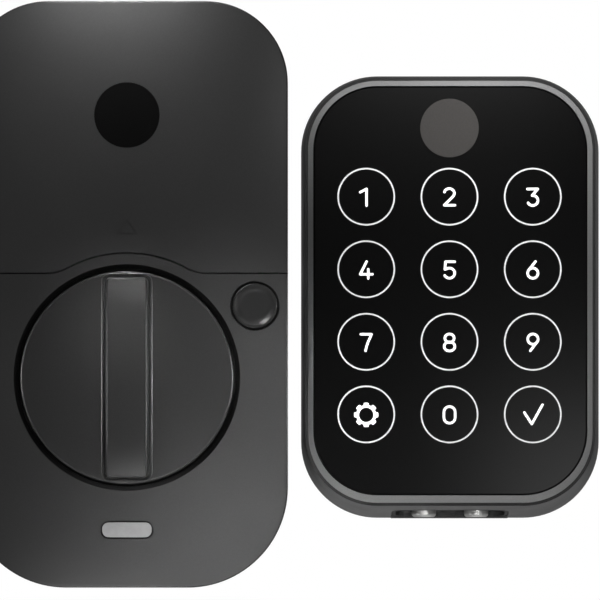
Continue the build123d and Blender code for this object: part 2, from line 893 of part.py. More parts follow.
def motor_pin_edges(margin):
    """Sides of the motor's two solder pins, which stand out beyond the cup."""
    reach = hypot(*motor_centre)
    out = (motor_centre[0] / reach, motor_centre[1] / reach)
    edges = []
    for side in (-1, 1):
        x = motor_centre[0] + out[0] * motor_pin_reach - side * out[1] * motor_pin_spread
        y = motor_centre[1] + out[1] * motor_pin_reach + side * out[0] * motor_pin_spread
        half_width = motor_pin_width / 2 + margin
        half_thickness = motor_pin_thickness / 2 + margin
        edges.append((x - half_width, x + half_width, y - half_thickness, y + half_thickness))
    return edges


def tact_switch():
    """Switch body under the privacy button, with a well for its plunger."""
    half = switch_width / 2
    body = box(button_x - half, button_x + half, button_y - half, button_y + half,
               front_board_front, switch_front)
    return body - cylinder(plunger_radius + stop_gap, front_board_front + switch_floor,
                           switch_front, button_point)


def switch_plunger():
    """Plunger of the switch, which the button pushes."""
    return cylinder(plunger_radius, plunger_back, plunger_front, button_point)


def privacy_button():
    """Round cap with a shallow dish, a flange behind the wall and a stem to the switch."""
    crown = front_face + button_proud
    flange_front = cover_inner - stop_gap
    flange_back = flange_front - button_flange
    cap = cylinder(button_radius, flange_front, crown, button_point)
    cap = fillet(cap.edges().sort_by(Axis.Z)[-1], button_rim / 2)
    dish_edge = sqrt(button_dish_round ** 2 - (button_dish_round - button_dish) ** 2)
    dish_radius = button_radius - button_rim - dish_edge + button_dish_round
    dish = cylinder(dish_radius, crown - button_dish, crown + button_dish_round, button_point)
    cap -= fillet(dish.edges().sort_by(Axis.Z)[0], button_dish_round)
    flange = cylinder(button_flange_radius, flange_back, flange_front, button_point)
    flange -= box(wall_inner_half - stop_gap, interior_half, button_y - button_flange_radius,
                  button_y + button_flange_radius, flange_back, flange_front)
    return cap + flange + cylinder(button_stem_radius, plunger_front, flange_back, button_point)


def status_led():
    """Small lamp under the light pipe."""
    return box(-led_length / 2, led_length / 2, light_y - led_width / 2, light_y + led_width / 2,
               front_board_front, front_board_front + led_height)


def light_pipe():
    """Clear lens in the front wall, with a flange behind it and a stem down to the lamp."""
    lens = slab(light_profile(0), cover_inner, front_face)
    lens += slab(light_profile(light_flange_margin), cover_inner - light_flange, cover_inner)
    half = light_stem_width / 2
    return lens + box(-half, half, light_y - light_height / 2, light_y + light_height / 2,
                      front_board_front + led_height + fit_gap, cover_inner - light_flange)


def involute_angle(angle):
    """Involute function of an angle."""
    return tan(angle) - angle


def gear_profile(teeth, phase):
    """Outline of a spur gear whose first tooth points along the phase angle."""
    pitch = gear_module * teeth / 2
    root = pitch - dedendum * gear_module
    tip = pitch + addendum * gear_module
    slope = radians(pressure_angle)
    base = pitch * cos(slope)
    start = max(base, root)
    half_tooth = pi / (2 * teeth) - tooth_thinning / (2 * pitch)

    def flank(radius):
        return half_tooth + involute_angle(slope) - involute_angle(acos(min(1, base / radius)))

    def point(radius, angle):
        return (radius * cos(angle), radius * sin(angle))

    middle = (start + tip) / 2
    edges = []
    for tooth in range(teeth):
        centre = phase + 2 * pi * tooth / teeth
        following = centre + 2 * pi / teeth
        rising = [point(radius, centre - flank(radius)) for radius in (start, middle, tip)]
        falling = [point(radius, centre + flank(radius)) for radius in (tip, middle, start)]
        foot = point(root, centre + flank(start))
        next_foot = point(root, following - flank(start))
        edges.append(ThreePointArc(*rising))
        edges.append(ThreePointArc(rising[-1], point(tip, centre), falling[0]))
        edges.append(ThreePointArc(*falling))
        if start > root:
            edges.append(Line(falling[-1], foot))
        edges.append(ThreePointArc(foot, point(root, centre + pi / teeth), next_foot))
        if start > root:
            edges.append(Line(next_foot, point(start, following - flank(start))))
    return make_face(edges)


def mesh_phase(teeth, phase, mate_teeth, bearing):
    """Phase of a gear that meshes with a gear of known phase, along the line of centres."""
    line = radians(bearing)
    return line + pi - (pi - teeth * (line - phase)) / mate_teeth


output_phase = 0.0
second_pinion_phase = mesh_phase(output_teeth, output_phase, pinion_teeth, second_gear_bearing)
second_wheel_phase = 0.0
first_pinion_phase = mesh_phase(wheel_teeth, second_wheel_phase, pinion_teeth, first_gear_bearing)
first_wheel_phase = 0.0
motor_pinion_phase = mesh_phase(wheel_teeth, first_wheel_phase, pinion_teeth, motor_bearing)


def gear(teeth, phase, at, low, high):
    """Spur gear at a centre, between two heights."""
    return Pos(at[0], at[1], 0) * slab(gear_profile(teeth, phase), low, high)


def compound_gear(at, wheel_phase, own_pinion_phase, low, pinion_top):
    """Wheel and pinion in one piece, with a hub up to the gearbox plate and a bore."""
    wheel_front = low + gear_face
    piece = gear(wheel_teeth, wheel_phase, at, low, wheel_front)
    piece += gear(pinion_teeth, own_pinion_phase, at, wheel_front, pinion_top)
    top = gearbox_back - stop_gap
    if top > pinion_top:
        piece += cylinder(axle_radius + run_gap + gear_hub_wall, pinion_top, top, at)
    return piece - cylinder(axle_radius + run_gap, 0, gearbox_back, at)


def first_gear():
    """Gear that the motor's pinion drives."""
    return compound_gear(first_centre, first_wheel_phase, first_pinion_phase,
                         first_layer, third_layer - stop_gap)


def second_gear():
    """Gear between the first gear and the output gear."""
    return compound_gear(second_centre, second_wheel_phase, second_pinion_phase,
                         second_layer, gearbox_back - stop_gap)


def axle(at):
    """Steel pin held in the chassis and in the gearbox plate."""
    return cylinder(axle_radius, axle_foot, gearbox_front, at)


def output_gear():
    """Gear pressed on the drive shaft, with a hub that runs against the front bush."""
    wheel = gear(output_teeth, output_phase, shaft_centre, third_layer, third_layer + output_face)
    wheel += cylinder(shaft_radius + bush_wall, third_layer, gearbox_back - stop_gap)
    return wheel - cylinder(shaft_radius + seat_gap, 0, gearbox_back)


def gearbox_cover():
    """Plate over the gears that holds the axles' ends, the front bush and the motor."""
    lobe = gearbox_post_radius + gearbox_lobe_wall
    lobes = [circle(lobe, point) for point in gearbox_posts]
    outline = make_hull([edge for disc in lobes for edge in disc.edges()])
    plate = slab(outline, gearbox_back, gearbox_front)
    plate -= cylinder(shaft_radius + run_gap + bush_wall + seat_gap, gearbox_back, gearbox_front)
    plate -= cylinder(motor_radius + stop_gap, gearbox_back, gearbox_front, motor_centre)
    for point in (first_centre, second_centre):
        plate -= cylinder(axle_radius + seat_gap, gearbox_back, gearbox_front, point)
    for point in gearbox_posts:
        plate -= cylinder(small_screw_shank + fit_gap, gearbox_back, gearbox_front, point)
    return plate


def motor():
    """Flat motor with its shaft towards the door and two solder pins to the front board."""
    can = cylinder(motor_radius, motor_back, motor_front, motor_centre)
    can = fillet(can.edges(), motor_edge_round)
    can += cylinder(motor_boss_radius, motor_back - motor_boss_height, motor_back, motor_centre)
    can -= cylinder(motor_shaft_radius + run_gap, 0, motor_back + motor_shaft_inside + stop_gap, motor_centre)
    for left, right, bottom, top in motor_pin_edges(0):
        can += box(left, right, bottom, top, motor_front, front_board_front + part_gap)
    return can


def motor_shaft():
    """Shaft of the motor."""
    return cylinder(motor_shaft_radius, first_layer, motor_back + motor_shaft_inside, motor_centre)


def motor_pinion():
    """Pinion pressed on the motor's shaft."""
    pinion = gear(pinion_teeth, motor_pinion_phase, motor_centre, first_layer, first_layer + gear_face)
    return pinion - cylinder(motor_shaft_radius + seat_gap, 0, motor_back, motor_centre)


def bush(back, front):
    """Flanged plain bearing of the drive shaft, with its flange to the front."""
    outer = shaft_radius + run_gap + bush_wall
    sleeve = cylinder(outer, back, front) + cylinder(outer + bush_flange_width, front, front + bush_flange)
    return sleeve - cylinder(shaft_radius + run_gap, 0, front_face)


def drive_shaft():
    """Shaft from the thumbturn to the tailpiece, with a square end, a groove and a slot."""
    shoulder = disc_back - stop_gap
    shaft = cylinder(shaft_radius, plate_thickness + fit_gap, shoulder)
    half = square_width / 2
    shaft += box(-half, half, -half, half, shoulder, disc_plate_back - stop_gap)
    groove = cylinder(shaft_radius, ring_back - stop_gap / 2, ring_front + stop_gap / 2)
    groove -= cylinder(shaft_radius - ring_groove, 0, front_face)
    shaft -= groove
    return shaft - tail_section(stop_gap, plate_thickness, tail_socket + plate_thickness + fit_gap)


def tail_section(margin, low, high):
    """Flat bar section of the tailpiece between two heights."""
    half_width = tail_width / 2 + margin
    half_thickness = tail_thickness / 2 + margin
    return box(-half_thickness, half_thickness, -half_width, half_width, low, high)


def tailpiece():
    """Flat bar from the drive shaft into the door, where it turns the bolt."""
    bar = tail_section(0, -tail_reach, tail_socket + plate_thickness + fit_gap - stop_gap)
    corners = bar.faces().sort_by(Axis.Z)[0].edges().filter_by(Axis.X)
    return chamfer(corners, tail_tip_taper)


def retaining_ring():
    """Open ring in the shaft's groove, in front of the front bush."""
    inner = shaft_radius - ring_groove + seat_gap
    ring = cylinder(inner + ring_width, ring_back, ring_front) - cylinder(inner, ring_back, ring_front)
    half = ring_mouth / 2
    return ring - box(-half, half, 0, inner + ring_width, ring_back, ring_front)


def thumbturn_disc():
    """Hollow disc in the cup, with a hub that takes the shaft's square end."""
    disc = cylinder(disc_radius, disc_back, disc_front)
    disc = fillet(disc.edges().sort_by(Axis.Z)[-1], disc_edge_round)
    hub_radius = square_width / sqrt(2) + hub_wall
    disc -= cylinder(disc_radius - disc_skirt, disc_back, disc_plate_back)
    disc += cylinder(hub_radius, disc_back, disc_plate_back)
    half = square_width / 2 + seat_gap
    disc -= box(-half, half, -half, half, disc_back, disc_plate_back)
    for side in (-1, 1):
        disc -= cylinder(peg_radius + seat_gap, disc_plate_back, disc_front, (0, side * peg_offset))
    return disc


def grip_profile(inset_x, inset_y):
    """Outline of the grip, drawn in at its sides and ends."""
    half_width = grip_width / 2 - inset_x
    half_length = grip_length / 2 - inset_y
    corner = grip_corner - min(inset_x, inset_y)
    return rounded_rectangle(-half_width, half_width, -half_length, half_length, corner)


def grip_side_view():
    """Block with the grip's side view, whose top rolls down towards both ends."""
    top = disc_front + grip_height
    half = grip_length / 2
    flat = half - grip_end_roll
    centre = top - grip_end_roll_radius
    tilt = asin(grip_end_roll / grip_end_roll_radius)
    middle, end = [(flat + grip_end_roll_radius * sin(angle), centre + grip_end_roll_radius * cos(angle))
                   for angle in (tilt / 2, tilt)]
    roll = ThreePointArc((flat, top), middle, end)
    other_roll = ThreePointArc((-flat, top), (-middle[0], middle[1]), (-end[0], end[1]))
    sides = Polyline(end, (half, disc_front), (-half, disc_front), (-end[0], end[1]))
    profile = make_face([Line((-flat, top), (flat, top)), roll, other_roll] + sides.edges())
    section = Plane(origin=(-grip_width / 2, 0, 0), x_dir=(0, 1, 0), z_dir=(1, 0, 0))
    return extrude(section * profile, grip_width, dir=(1, 0, 0))


def thumbturn_grip():
    """Tapered bar in the groove of a low foot, held to the disc by two pegs."""
    foot_front = disc_front + grip_foot
    foot = slab(grip_profile(0, 0), disc_front, foot_front)
    foot = chamfer(foot.faces().sort_by(Axis.Z)[-1].edges(), grip_foot_chamfer)
    groove_floor = foot_front - grip_groove_depth
    foot -= slab(grip_profile(grip_rim, grip_rim), groove_floor, foot_front)
    blade_inset = grip_rim + grip_groove
    lower = Pos(0, 0, groove_floor) * grip_profile(blade_inset, blade_inset)
    upper = Pos(0, 0, disc_front + grip_height) * grip_profile(blade_inset + grip_side_draft,
                                                               blade_inset + grip_end_draft)
    blade = loft([lower, upper], ruled=True) & grip_side_view()
    crown = [face for face in blade.faces() if face.normal_at().Z > cos(pi / 4)]
    roll_start = grip_length / 2 - grip_end_roll
    rim = [edge for face in crown for edge in face.edges()
           if abs(edge.center().X) > grip_width / 4 or abs(edge.center().Y) > roll_start + grip_end_roll / 2]
    blade = fillet(rim, grip_edge_round)
    grip = foot + blade
    for side in (-1, 1):
        grip += cylinder(peg_radius, disc_plate_back, disc_front, (0, side * peg_offset))
    return grip


def screw_groups():
    """Screws of the inside unit, one group for each job."""
    head_back = plate_thickness + small_screw_head_height + stop_gap
    return {
        "mounting_screws": [screw(point, tray_front, 0, mount_screw_head, mount_screw_head_height,
                                  mount_screw_shank) for point in mount_screw_points],
        "tray_screws": [small_screw(point, tray_front, tray_front - screw_bite + stop_gap)
                        for point in tray_screw_points],
        "housing_screws": [small_screw(point, head_back, floor_front + screw_bite - stop_gap)
                           for point in housing_boss_points],
        "gearbox_screws": [small_screw(point, gearbox_front, gearbox_front - screw_bite + stop_gap)
                           for point in gearbox_posts],
        "front_board_screws": [small_screw(point, front_board_back, cover_inner - stop_gap)
                               for point in front_board_points],
    }


def keypad_outline(side, bottom, top, corner):
    """Rounded outline of the keypad, drawn in by its own amount on each side."""
    return rounded_rectangle(keypad_left + side, keypad_right - side, keypad_bottom + bottom,
                             keypad_top - top, corner)


def keypad_front(inset):
    """Outline of the keypad housing's front, drawn in by an inset."""
    return keypad_outline(side_draft + inset, chin_draft + inset, top_draft + inset,
                          keypad_corner - side_draft - inset)


def glass_outline(inset):
    """Outline of the opening for the glass, drawn in by an inset."""
    return keypad_outline(side_draft + land_width + bevel_side + inset,
                          chin_draft + land_width + bevel_bottom + inset,
                          top_draft + land_width + bevel_top + inset,
                          keypad_corner - side_draft - land_width - bevel_side - inset)


def keypad_body():
    """Outer form of the keypad housing, whose underside leans back to the door."""
    back = Pos(0, 0, door_gap) * keypad_outline(0, 0, 0, keypad_corner)
    front = Pos(0, 0, keypad_land) * keypad_front(0)
    return loft([back, front], ruled=True)


def keypad_boss_points():
    """Centres of the four bosses in the corners of the keypad housing."""
    inset = keypad_wall + side_draft
    radius = keypad_corner - inset
    reach = (radius - keypad_boss_radius + boss_wall_bite) / sqrt(2)
    left = keypad_left + inset + radius - reach
    right = keypad_right - inset - radius + reach
    low = keypad_bottom + chin_draft + keypad_wall + radius - reach
    high = keypad_top - top_draft - keypad_wall - radius + reach
    return [(x, y) for x in (left, right) for y in (low, high)]


def recess_prism(inset, low, high):
    """Column through the keypad's bottom wall for the contact block, drawn in by an inset."""
    half = recess_width / 2 - inset
    depth = recess_front - recess_back - 2 * inset
    profile = RectangleRounded(2 * half, depth, recess_corner - inset)
    floor = Plane(origin=(keypad_x, low, (recess_front + recess_back) / 2),
                  x_dir=(1, 0, 0), z_dir=(0, 1, 0))
    return extrude(floor * profile, high - low, dir=(0, 1, 0))


keypad_floor = keypad_bottom + chin_draft + keypad_wall
recess_top = keypad_floor - recess_ceiling


def keypad_housing():
    """Tube of the keypad with four corner bosses and the opening for the contact block."""
    body = keypad_body()
    housing = body - slab(keypad_front(keypad_wall), 0, keypad_land)
    for point in keypad_boss_points():
        boss = cylinder(keypad_boss_radius, back_plate_front, keypad_board_back, point)
        housing += boss & body
        housing -= cylinder(small_screw_shank + seat_gap, back_plate_front,
                            back_plate_front + screw_bite, point)
    return housing - recess_prism(0, keypad_bottom - cut_over, keypad_floor + cut_over)


def keypad_bezel():
    """Sloped frame round the glass, with a skirt inside the housing."""
    base = Pos(0, 0, keypad_land) * keypad_front(land_width)
    crown = Pos(0, 0, bezel_front) * glass_outline(0)
    frame = loft([base, crown], ruled=True)
    frame += slab(keypad_front(keypad_wall + fit_gap), keypad_board_front, keypad_land)
    frame -= slab(glass_outline(0), glass_back, bezel_front)
    return frame - slab(glass_outline(glass_ledge), 0, bezel_front)


def glass_panel():
    """Black glass that the keys show through."""
    return slab(glass_outline(glass_gap), glass_back, bezel_front)


def touch_sensor():
    """Touch sensing sheet on the back of the glass."""
    return slab(glass_outline(glass_ledge + fit_gap), sensor_back, glass_back)


def light_guide():
    """Clear sheet that spreads the backlight to the keys."""
    return slab(glass_outline(glass_ledge + fit_gap), guide_back, sensor_back)


def keypad_board():
    """Circuit board of the keypad, between the bezel's skirt and the housing's bosses."""
    return slab(keypad_front(keypad_wall + board_edge_gap), keypad_board_back, keypad_board_front)


def key_points():
    """Centres of the twelve keys."""
    middle = (keypad_bottom + keypad_top) / 2 - key_grid_drop
    return [(keypad_x + (column - (key_columns - 1) / 2) * key_pitch_x,
             middle + ((key_rows - 1) / 2 - row) * key_pitch_y)
            for row in range(key_rows)
            for column in range(key_columns)]


def backlight_leds():
    """One small lamp behind each key."""
    return group([box(x - backlight_length / 2, x + backlight_length / 2,
                      y - backlight_width / 2, y + backlight_width / 2,
                      keypad_board_front, keypad_board_front + backlight_height)
                  for x, y in key_points()])


def keypad_back_plate():
    """Plate that closes the keypad's back and carries the two posts."""
    plate = slab(keypad_front(keypad_wall + fit_gap), gasket_thickness, back_plate_front)
    for x, y in bolt_points:
        plate -= cylinder(post_rivet_radius + seat_gap, gasket_thickness, back_plate_front,
                          (keypad_x + x, y))
    for point in keypad_boss_points():
        plate -= cylinder(small_screw_shank + fit_gap, gasket_thickness, back_plate_front, point)
        plate -= cylinder(small_screw_head + fit_gap, gasket_thickness,
                          gasket_thickness + small_screw_head_height + stop_gap, point)
    return plate - Pos(keypad_x, keypad_socket_rise - cable_slot_rise - cable_slot_height / 2,
                       0) * cable_slot(gasket_thickness, back_plate_front)


def keypad_gasket():
    """Foam seal between the keypad and the door."""
    outer = keypad_front(keypad_wall + fit_gap)
    return slab(outer - keypad_front(keypad_wall + fit_gap + gasket_width), 0, gasket_thickness)


def keypad_posts():
    """Two threaded posts riveted to the back plate, which the through bolts pull on."""
    posts = []
    for x, y in bolt_points:
        at = (keypad_x + x, y)
        post = cylinder(post_radius, -post_reach, gasket_thickness, at)
        post += cylinder(post_rivet_radius, gasket_thickness, back_plate_front, at)
        post += cylinder(post_radius, back_plate_front, back_plate_front + post_head_height, at)
        posts.append(post - cylinder(post_bore_radius, -post_reach, gasket_thickness - post_bore_floor, at))
    return group(posts)


def back_plate_screws():
    """Screws that hold the back plate to the housing's bosses."""
    seat = gasket_thickness + small_screw_head_height + stop_gap
    return group([small_screw(point, seat, back_plate_front + screw_bite - stop_gap)
                  for point in keypad_boss_points()])


def sounder():
    """Small buzzer on the back of the keypad's board."""
    return cylinder(sounder_radius, keypad_board_back - sounder_height, keypad_board_back,
                    (keypad_x + sounder_offset_x, sounder_rise))


def keypad_cable_socket():
    """Socket for the lead to the inside unit, on the back of the keypad's board."""
    half_width = socket_width / 2
    half_height = socket_height / 2
    back = keypad_board_back - socket_height
    body = box(keypad_x - half_width, keypad_x + half_width, keypad_socket_rise - half_height,
               keypad_socket_rise + half_height, back, keypad_board_back)
    half_width -= socket_wall
    half_height -= socket_wall
    return body - box(keypad_x - half_width, keypad_x + half_width, keypad_socket_rise - half_height,
                      keypad_socket_rise + half_height, back, keypad_board_back - socket_wall)


def contact_block():
    """Black insert that lines the recess under the keypad and holds the contact studs."""
    block = recess_prism(lining_gap, keypad_bottom - cut_over, keypad_floor) & keypad_body()
    block -= recess_prism(lining_gap + recess_lining, keypad_bottom - cut_over, recess_top)
    half = recess_width / 2 + block_flange_margin
    block += box(keypad_x - half, keypad_x + half, keypad_floor, keypad_floor + block_flange,
                 back_plate_front + fit_gap, recess_front + block_flange_margin)
    for x in stud_columns():
        block -= stem_hole(x, stem_radius + seat_gap)
    return block


def stud_columns():
    """Places of the two studs across the keypad."""
    return (keypad_x - stud_spacing / 2, keypad_x + stud_spacing / 2)


def stem_hole(x, radius):
    """Column up the keypad through the contact block."""
    upright = (Align.CENTER, Align.CENTER, Align.MIN)
    height = keypad_floor + block_flange + 2 * lead_thickness - recess_top
    return along_y(Cylinder(radius, height, align=upright), (x, recess_top, stud_depth))


def nine_volt_contacts():
    """Two domed studs, spaced for a nine volt battery."""
    tip = keypad_bottom + stud_tip_gap
    upright = (Align.CENTER, Align.CENTER, Align.MIN)
    studs = []
    for x in stud_columns():
        head = Cylinder(stud_radius, recess_top - tip, align=upright)
        head = fillet(head.edges().sort_by(Axis.Z)[0], stud_edge_round)
        studs.append(along_y(head, (x, tip, stud_depth)) + stem_hole(x, stem_radius))
    return group(studs)


def contact_leads():
    """Bent strips from the studs to the keypad's board."""
    low = keypad_floor + block_flange
    leads = []
    for x in stud_columns():
        half = lead_width / 2
        strip = box(x - half, x + half, low, low + lead_thickness,
                    stud_depth - 2 * stem_radius, keypad_board_back)
        strip += box(x - half, x + half, low, low + lead_leg,
                     keypad_board_back - lead_thickness, keypad_board_back)
        leads.append(strip - stem_hole(x, stem_radius + seat_gap))
    return group(leads)


def sub_parts():
    """Every sub-part by its name."""
    whole = shell()
    pieces = {
        "mounting_plate": mounting_plate(),
        "chassis": chassis(),
        "lower_housing": lower_housing(whole),
        "battery_cover": battery_cover(whole),
        "cover_badge": cover_badge(),
        "battery_tray": battery_tray(),
        "plus_contacts": group([plus_contact(column) for column in range(4)]),
        "minus_contacts": group([minus_contact(column) for column in range(4)]),
        "main_board": main_board(),
        "main_board_parts": main_board_parts(),
        "interior_cable_socket": interior_cable_socket(),
        "smart_module": smart_module(),
        "front_board": front_board(),
        "tact_switch": tact_switch(),
        "switch_plunger": switch_plunger(),
        "privacy_button": privacy_button(),
        "status_led": status_led(),
        "light_pipe": light_pipe(),
        "gearbox_cover": gearbox_cover(),
        "motor": motor(),
        "motor_shaft": motor_shaft(),
        "motor_pinion": motor_pinion(),
        "first_gear": first_gear(),
        "first_gear_axle": axle(first_centre),
        "second_gear": second_gear(),
        "second_gear_axle": axle(second_centre),
        "output_gear": output_gear(),
        "drive_shaft": drive_shaft(),
        "rear_bush": bush(plate_thickness, floor_front),
        "front_bush": bush(gearbox_back, gearbox_front),
        "retaining_ring": retaining_ring(),
        "thumbturn_disc": thumbturn_disc(),
        "thumbturn_grip": thumbturn_grip(),
        "tailpiece": tailpiece(),
        "keypad_housing": keypad_housing(),
        "keypad_bezel": keypad_bezel(),
        "glass_panel": glass_panel(),
        "touch_sensor": touch_sensor(),
        "light_guide": light_guide(),
        "keypad_board": keypad_board(),
        "backlight_leds": backlight_leds(),
        "sounder": sounder(),
        "keypad_cable_socket": keypad_cable_socket(),
        "contact_block": contact_block(),
        "nine_volt_contacts": nine_volt_contacts(),
        "contact_leads": contact_leads(),
        "keypad_back_plate": keypad_back_plate(),
        "keypad_gasket": keypad_gasket(),
        "keypad_posts": keypad_posts(),
        "back_plate_screws": back_plate_screws(),
    }
    for column in range(4):
        pieces[f"aa_cell_{column + 1}"] = aa_cell(column)
    for name, screws in screw_groups().items():
        pieces[name] = group(screws)
    return pieces


# The finished part stands upright: its front faces -Y and +Z is up.
os.makedirs("parts", exist_ok=True)
upright_turn = Rot(90, 0, 0)
for part_name, piece in sub_parts().items():
    export_step(upright_turn * piece, f"parts/{part_name}.step")
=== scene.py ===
import math

import bmesh
import bpy
import numpy as np
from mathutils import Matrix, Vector


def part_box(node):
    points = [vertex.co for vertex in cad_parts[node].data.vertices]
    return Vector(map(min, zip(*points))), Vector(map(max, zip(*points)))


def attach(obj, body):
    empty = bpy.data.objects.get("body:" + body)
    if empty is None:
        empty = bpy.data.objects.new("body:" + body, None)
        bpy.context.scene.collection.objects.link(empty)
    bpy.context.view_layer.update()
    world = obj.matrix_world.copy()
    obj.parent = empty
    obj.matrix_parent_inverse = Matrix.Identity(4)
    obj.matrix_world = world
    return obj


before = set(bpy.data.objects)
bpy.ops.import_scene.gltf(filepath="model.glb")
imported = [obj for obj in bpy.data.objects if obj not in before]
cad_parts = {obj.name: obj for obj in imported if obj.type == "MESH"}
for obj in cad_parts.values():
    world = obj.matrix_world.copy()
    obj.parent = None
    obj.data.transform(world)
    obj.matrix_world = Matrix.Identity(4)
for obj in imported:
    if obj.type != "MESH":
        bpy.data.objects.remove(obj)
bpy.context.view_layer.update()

MM = 0.001
ROOT = "lock_body"
WHITE = (1, 1, 1, 1)


# Shader nodes

NOISE_LOW = 0.3
NOISE_HIGH = 0.7


def new_material(name):
    """Empty node material with its principled shader."""
    made = bpy.data.materials.new(name)
    made.use_nodes = True
    return made, made.node_tree, made.node_tree.nodes["Principled BSDF"]


def add(tree, kind, **settings):
    """Node with some of its properties set."""
    node = tree.nodes.new(kind)
    for key, value in settings.items():
        setattr(node, key, value)
    return node


def feed(tree, value, socket):
    """Number or another node's output, put into a socket."""
    if isinstance(value, float):
        socket.default_value = value
    else:
        tree.links.new(value, socket)


def compute(tree, operation, *values):
    """Result of a math node on numbers and outputs."""
    node = add(tree, "ShaderNodeMath", operation=operation)
    for socket, value in zip(node.inputs, values):
        feed(tree, value, socket)
    return node.outputs["Value"]


def axes_of(tree, kind):
    """X, Y and Z of one kind of coordinates."""
    source = add(tree, "ShaderNodeTexCoord")
    axes = add(tree, "ShaderNodeSeparateXYZ")
    tree.links.new(source.outputs[kind], axes.inputs["Vector"])
    return axes.outputs


def coordinates(tree, stretch=(1, 1, 1)):
    """Object coordinates, stretched along each axis."""
    source = add(tree, "ShaderNodeTexCoord")
    mapping = add(tree, "ShaderNodeMapping")
    mapping.inputs["Scale"].default_value = stretch
    tree.links.new(source.outputs["Object"], mapping.inputs["Vector"])
    return mapping.outputs["Vector"]


def noise(tree, vector, size_mm, detail=2.0):
    """Noise whose spots have about a size in millimetres."""
    texture = add(tree, "ShaderNodeTexNoise")
    texture.inputs["Scale"].default_value = 1 / (size_mm * MM)
    texture.inputs["Detail"].default_value = detail
    tree.links.new(vector, texture.inputs["Vector"])
    return texture.outputs["Fac"]


def ramp(tree, value, stops, interpolation="LINEAR"):
    """Colour ramp through (place, colour) stops."""
    node = add(tree, "ShaderNodeValToRGB")
    node.color_ramp.interpolation = interpolation
    elements = node.color_ramp.elements
    while len(elements) < len(stops):
        elements.new(1.0)
    for element, (place, colour) in zip(elements, stops):
        element.position = place
        element.color = (*colour, 1)
    tree.links.new(value, node.inputs["Fac"])
    return node.outputs["Color"]


def spread(tree, value, low, high):
    """Noise carried to another range."""
    node = add(tree, "ShaderNodeMapRange")
    node.inputs["From Min"].default_value = NOISE_LOW
    node.inputs["From Max"].default_value = NOISE_HIGH
    node.inputs["To Min"].default_value = low
    node.inputs["To Max"].default_value = high
    tree.links.new(value, node.inputs["Value"])
    return node.outputs["Result"]


def eased(tree, value, within, reach):
    """Smooth step from one level to another, as a value crosses a stretch."""
    node = add(tree, "ShaderNodeMapRange", interpolation_type="SMOOTHSTEP")
    node.inputs["From Min"].default_value, node.inputs["From Max"].default_value = within
    node.inputs["To Min"].default_value, node.inputs["To Max"].default_value = reach
    tree.links.new(value, node.inputs["Value"])
    return node.outputs["Result"]


def mix_colours(tree, share, first, second):
    """A node's colour that goes over to a plain one."""
    mix = add(tree, "ShaderNodeMixRGB")
    tree.links.new(share, mix.inputs["Fac"])
    tree.links.new(first, mix.inputs["Color1"])
    mix.inputs["Color2"].default_value = (*second, 1)
    return mix.outputs["Color"]


def mix_shaders(tree, share, first, second):
    """Mix of two shaders, by a number or by a node's output."""
    mix = add(tree, "ShaderNodeMixShader")
    feed(tree, share, mix.inputs["Fac"])
    tree.links.new(first, mix.inputs[1])
    tree.links.new(second, mix.inputs[2])
    return mix.outputs["Shader"]


def add_relief(tree, shader, height, strength, depth_mm):
    """Shallow bump on a shader's surface."""
    relief = add(tree, "ShaderNodeBump")
    relief.inputs["Strength"].default_value = strength
    relief.inputs["Distance"].default_value = depth_mm * MM
    tree.links.new(height, relief.inputs["Height"])
    tree.links.new(relief.outputs["Normal"], shader.inputs["Normal"])


# Materials

def grey(level):
    """Colour without hue."""
    return (level, level, level)


def shade(colour, factor):
    """Lighter or darker colour."""
    return tuple(min(1.0, channel * factor) for channel in colour)


def mottled(tree, value, colour, tint):
    """Colour that noise makes a little darker here and lighter there."""
    return ramp(tree, value, [(NOISE_LOW, shade(colour, 1 - tint)), (NOISE_HIGH, shade(colour, 1 + tint))])


def surface(name, colour, roughness, grain_mm=0.35, tint=0.08, bump=0.12, depth_mm=0.02, metallic=0.0,
            specular=0.5, blotch_mm=9.0, rough_play=0.05, stretch=(1, 1, 1), emission=0.0):
    """Painted, moulded or bare surface with fine grain, soft blotches and a little bump."""
    made, tree, shader = new_material(name)
    vector = coordinates(tree, stretch)
    grain = noise(tree, vector, grain_mm)
    blotch = noise(tree, vector, blotch_mm, detail=3.0)
    tree.links.new(mottled(tree, grain, colour, tint), shader.inputs["Base Color"])
    tree.links.new(spread(tree, blotch, roughness - rough_play, roughness + rough_play),
                   shader.inputs["Roughness"])
    add_relief(tree, shader, grain, bump, depth_mm)
    shader.inputs["Metallic"].default_value = metallic
    shader.inputs["Specular IOR Level"].default_value = specular
    if emission:
        shader.inputs["Emission Color"].default_value = WHITE
        shader.inputs["Emission Strength"].default_value = emission
    return made


def circuit(name, mask, track):
    """Solder mask with copper tracks that show through it."""
    field_mm, cloud_mm = 4.0, 3.0
    track_edge, mask_edge = 0.02, 0.06
    smooth, rough = 0.3, 0.42
    made, tree, shader = new_material(name)
    vector = coordinates(tree)
    cells = add(tree, "ShaderNodeTexVoronoi", feature="DISTANCE_TO_EDGE", distance="MANHATTAN")
    cells.inputs["Scale"].default_value = 1 / (field_mm * MM)
    tree.links.new(vector, cells.inputs["Vector"])
    from_edge = cells.outputs["Distance"]
    stops = [(track_edge, track), (mask_edge, mask)]
    tree.links.new(ramp(tree, from_edge, stops), shader.inputs["Base Color"])
    tree.links.new(spread(tree, noise(tree, vector, cloud_mm), smooth, rough), shader.inputs["Roughness"])
    add_relief(tree, shader, from_edge, strength=0.2, depth_mm=0.03)
    return made


